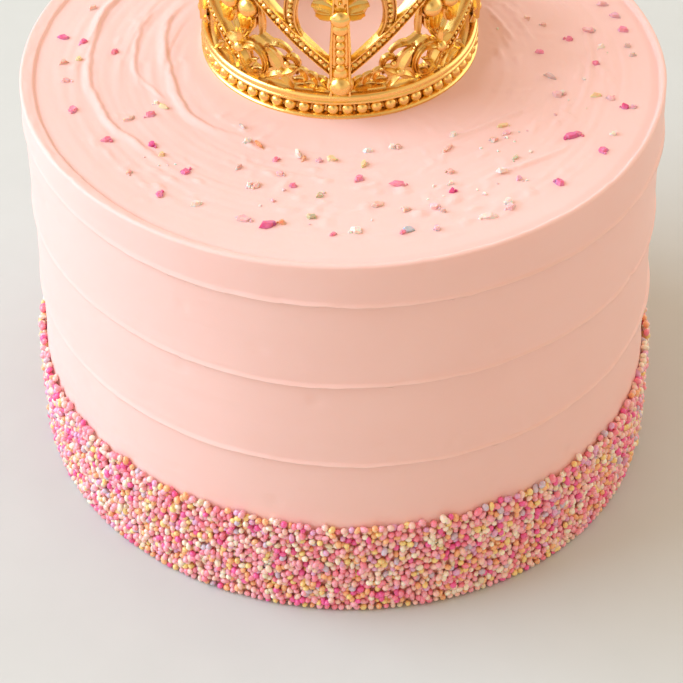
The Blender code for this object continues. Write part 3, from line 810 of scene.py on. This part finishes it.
for path, widths in (
        (((1.2, 31.2), (3.2, 31.8), (5.2, 32.4), (6.8, 33.2)), (2.6, 4.4, 4.0, 0.9)),
        (((1.2, 29.9), (3.0, 29.6), (4.6, 29.8), (5.8, 30.6)), (1.8, 2.6, 2.4, 0.8)),
        (((1.0, 33.0), (2.2, 34.2), (3.2, 35.2), (3.8, 36.6)), (2.2, 2.8, 2.4, 0.8))):
    add_bar(heart_half, path, widths, (32.7, 35.5), RIDGED)
add_scroll(heart_half, ((0, 40.8), (2, 41), (4.2, 42.6), (4.6, 45.6)), 7,
           (2.6, 2.4, 0.6), RIDGED)
set_round(heart_half, FRONT_AND_BACK, True)

# The post of the front and back, with its jewels and the ball on top.
heart_post = bmesh.new()
post = [(0, 7.2 + step * 2.27) for step in range(19)]
add_bar(heart_post, post, (5.3, 5.1, 3.8, 2.6), POST, RAILED)
add_studs(heart_post, ((0, 33.4), (0, 47.0)), 1.45, 0.62, 35.0)
for height in (15.4, 17.6, 19.8, 22.0, 24.2):
    add_ball(heart_post, (0, height, 35.0), 1.3, 0.8, segments=14)
for height, depth, radius, squash in (
        (13.6, 34.6, 2.2, 0.7), (26.9, 34.7, 2.3, 0.7), (10.2, 34.9, 3.4, 0.4),
        (10.2, 35.0, 2.8, 1.0), (29.8, 34.9, 2.5, 0.8), (48.0, 34.0, 2.5, 1.0)):
    add_ball(heart_post, (0, height, depth), radius, squash)
set_round(heart_post, FRONT_AND_BACK, False)

# One half of the two sides, beside the post: the arch, the bar over it, and leaves.
arch_half = bmesh.new()
arch = curve(((0, 22.2), (9, 22.2), (18, 17.5), (EIGHTH, 10.5)), 14)
add_bar(arch_half, arch, (2.6, 2.8), FULL, RAILED)
add_studs(arch_half, arch, 1.35, 0.58, 34.5)
add_scroll(arch_half, ((0, 27.5), (8, 27.0), (17, 31.5), (EIGHTH, 37.0)), 12,
           (2.2, 2.0, 2.4), REEDED)
add_scroll(arch_half, ((0, 30), (3.5, 30.5), (6.4, 33.5), (5.6, 38.0)), 8,
           (2.8, 2.6, 0.8), RIDGED)
add_scroll(arch_half, ((14.6, 7.2), (11.6, 10), (11.8, 14.5), (15.2, 19.0)), 8,
           (1.6, 2.0, 1.6), REEDED)
for root, tip in (((2.2, 8.4), (6.4, 13.6)), ((3.4, 8.2), (9.6, 11.4)),
                  ((16.0, 8.0), (19.5, 11.5))):
    add_leaf(arch_half, root, tip, 2.0, sag=0.06)
set_round(arch_half, SIDES, True)

# The post of the two sides.
arch_post = bmesh.new()
post = [(0, 7.2 + step * 1.74) for step in range(21)]
add_bar(arch_post, post, (3.2, 3.0, 3.6, 2.0), POST, RAILED)
add_studs(arch_post, ((0, 13.0), (0, 40.5)), 1.4, 0.6, 35.2)
add_ball(arch_post, (0, 10.0, 34.6), 1.7)
add_ball(arch_post, (0, 42.4, 34.0), 2.3)
set_round(arch_post, SIDES, False)

# One half of each corner: a ball in a leaf cup on its stem, beside the star.
corner_half = bmesh.new()
add_scroll(corner_half, ((0, 17), (1.5, 20), (3, 22), (3.0, 26.5)), 8,
           (1.6, 2.6, 4.0), REEDED)
for root, tip in ((2.2, 0.7), (2.8, 2.2), (3.5, 4.0), (4.0, 5.6)):
    add_leaf(corner_half, (root, 21.4), (tip, 25.4), 1.5, (33.4, 36.0))
add_ball(corner_half, (3.1, 27.4, 33.9), 2.75, segments=24)
add_scroll(corner_half, ((3.0, 29), (2.6, 32), (1.4, 35), (0, 38)), 8,
           (2.0, 1.6, 2.2), RAILED)
add_leaf(corner_half, (6.3, 19.8), (6.2, 28.4), 2.2, (32.4, 34.4))
add_leaf(corner_half, (1.0, 8.0), (5.0, 12.6), 2.0, sag=0.1)
add_leaf(corner_half, (3.0, 8.0), (6.8, 10.4), 1.6, sag=0.1)
set_round(corner_half, CORNERS, True)

# The star of each corner, and the ball on top.
corner_star = bmesh.new()
for point in range(5):
    angle = math.pi / 2 + point * math.tau / 5
    tip = (4.9 * math.cos(angle), 14.8 + 4.9 * math.sin(angle))
    add_leaf(corner_star, (0, 14.8), tip, 3.2, (32.6, 35.5))
add_ball(corner_star, (0, 14.8, 34.9), 1.5, segments=14)
add_ball(corner_star, (0, 40.0, 33.8), 2.5)
set_round(corner_star, CORNERS, False)

# Each point keeps its distance from the crown's axis, for the shade painted as darker gold into the
# hollows.
reach_layer = crown.verts.layers.float.new("reach")
for vert in crown.verts:
    vert[reach_layer] = math.hypot(vert.co.x, vert.co.y) - FLARE * vert.co.z
crown_place = Matrix.Translation(settle(*CROWN_SPOT, CAKE_HEIGHT - CROWN_SUNK))
crown_tip = Matrix.Rotation(-math.atan(TOP_TILT), 4, "Y") @ Matrix.Rotation(CROWN_TURN, 4, "Z")
bmesh.ops.transform(crown, matrix=crown_place @ crown_tip, verts=crown.verts[:])
crown_piece = finish_piece("gold_crown", crown, gold, math.radians(38))
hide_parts("crown")


# Floor: a plain pale floor, four metres each way, faintly mottled.
FLOOR = (0.585, 0.61, 0.585, 1.0)
FLOOR_PALE = (0.615, 0.64, 0.615, 1.0)
FLOOR_REACH = 4.0

floor_bm = bmesh.new()
bmesh.ops.create_grid(floor_bm, x_segments=1, y_segments=1, size=FLOOR_REACH)
floor_mesh = bpy.data.meshes.new("floor")
floor_bm.to_mesh(floor_mesh)
floor_bm.free()
floor = bpy.data.objects.new("floor", floor_mesh)
bpy.context.scene.collection.objects.link(floor)
floor_paint, floor_shader, floor_place = start_material("pale floor", Roughness=0.5)
plug(floor_shader, Base_Color=floor_place.noise(60.0).blend(FLOOR, FLOOR_PALE))
floor_mesh.materials.append(floor_paint)


# Light and camera: a large soft window at the left, a pale wall at the right and behind,
# a pale screen at the front left, and a warm even room all round. A long lens looks down
# from the front.
LIGHT_AIM = (0.0, 0.0, 0.08)
LIGHT_WIDTH = 3.0
CAMERA_PLACE = Vector((-0.0029, -0.48635, 0.45341))
CAMERA_AIM = Vector((-0.0012, -0.0461, 0.0600))
CAMERA_ROLL = 0.0333
FOCAL_LENGTH = 121.23


def add_softbox(name, place, power, colour):
    """A round sheet of light, turned to the cake."""
    lamp = bpy.data.lights.new(name, "AREA")
    lamp.shape = "DISK"
    lamp.size = LIGHT_WIDTH
    lamp.energy = power
    lamp.color = colour
    holder = bpy.data.objects.new(name, lamp)
    holder.location = place
    facing = (Vector(LIGHT_AIM) - Vector(place)).to_track_quat("-Z", "Y")
    holder.rotation_euler = facing.to_euler()
    bpy.context.scene.collection.objects.link(holder)


add_softbox("window", (-2.64, 0.0, 1.80), 139.0, (0.65, 0.81, 1.0))
add_softbox("pale wall", (2.2, 1.5, 0.85), 24.0, (0.72, 0.94, 1.0))
add_softbox("pale screen", (-1.15, -2.46, 1.35), 10.0, (0.86, 0.97, 1.0))

room = bpy.data.worlds.new("pale room")
room.use_nodes = True
sky = room.node_tree.nodes["Background"]
sky_place = room.node_tree.nodes.new("ShaderNodeTexCoord")
outwards = Wire(room.node_tree, sky_place.outputs["Generated"])


def towards(direction):
    """From 0 for the part of the room straight behind to 1 for the part straight ahead."""
    toward = outwards.node("ShaderNodeVectorMath", {"operation": "DOT_PRODUCT"},
                           {0: outwards, 1: direction}, 1)
    return (toward * 0.5 + 0.5).clamp()


upwards = towards((-0.35, 0.1, 0.93))
room_light = upwards.node("ShaderNodeValToRGB", {"stops": (
    (0.0, (0.60, 0.45, 0.34)), (0.5, (1.08, 0.835, 0.625)),
    (0.75, (0.90, 0.70, 0.51)), (1.0, (0.77, 0.62, 0.46)))}, {"Fac": upwards})
# The dark corner behind the camera gives the gold something to mirror.
dark_corner = towards((0.1, -0.74, 0.66)) ** 18.0
plug(sky, Color=(dark_corner * 0.85).blend(room_light, (0.22, 0.15, 0.10, 1.0)))
sky.inputs["Strength"].default_value = 1.0
bpy.context.scene.world = room
bpy.context.scene.view_settings.view_transform = "Standard"

lens = bpy.data.cameras.new("camera")
lens.lens = FOCAL_LENGTH
camera = bpy.data.objects.new("camera", lens)
camera.location = CAMERA_PLACE
facing = (CAMERA_AIM - CAMERA_PLACE).to_track_quat("-Z", "Y").to_matrix()
camera.rotation_euler = (facing @ Matrix.Rotation(CAMERA_ROLL, 3, "Z")).to_euler()
bpy.context.scene.collection.objects.link(camera)
bpy.context.scene.camera = camera
